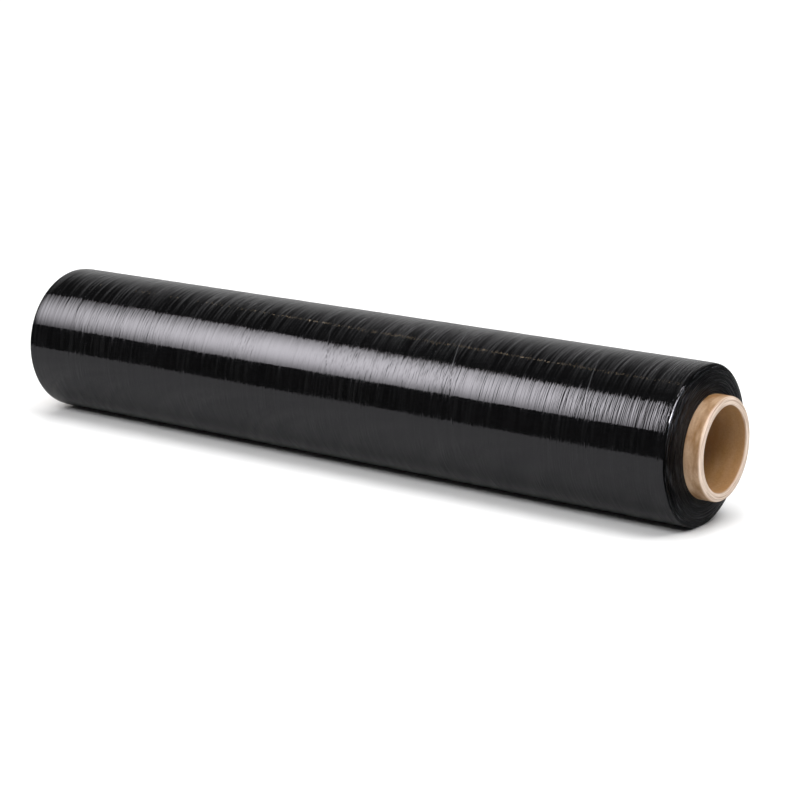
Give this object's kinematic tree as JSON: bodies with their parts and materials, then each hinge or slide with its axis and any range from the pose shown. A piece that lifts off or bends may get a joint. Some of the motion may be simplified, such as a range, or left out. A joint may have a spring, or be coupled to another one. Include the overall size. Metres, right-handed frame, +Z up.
{
  "type": "stretch wrap roll",
  "caption": "Hand roll of glossy black stretch film wound on a spiral paper core that stands out at both ends, lying on its side on a small flat spot.",
  "frame": {"origin": "under the middle of the roll, at the centre of the flat spot that it rests on", "axes": "+X along the roll and its core, +Z up from the surface that it lies on"},
  "size_m": [0.5266, 0.097, 0.0966],
  "materials": {
    "black_film": "gloss",
    "core_board": "matte"
  },
  "bodies": {
    "root": {"film_roll": "black_film", "core": "core_board"}
  },
  "joints": []
}
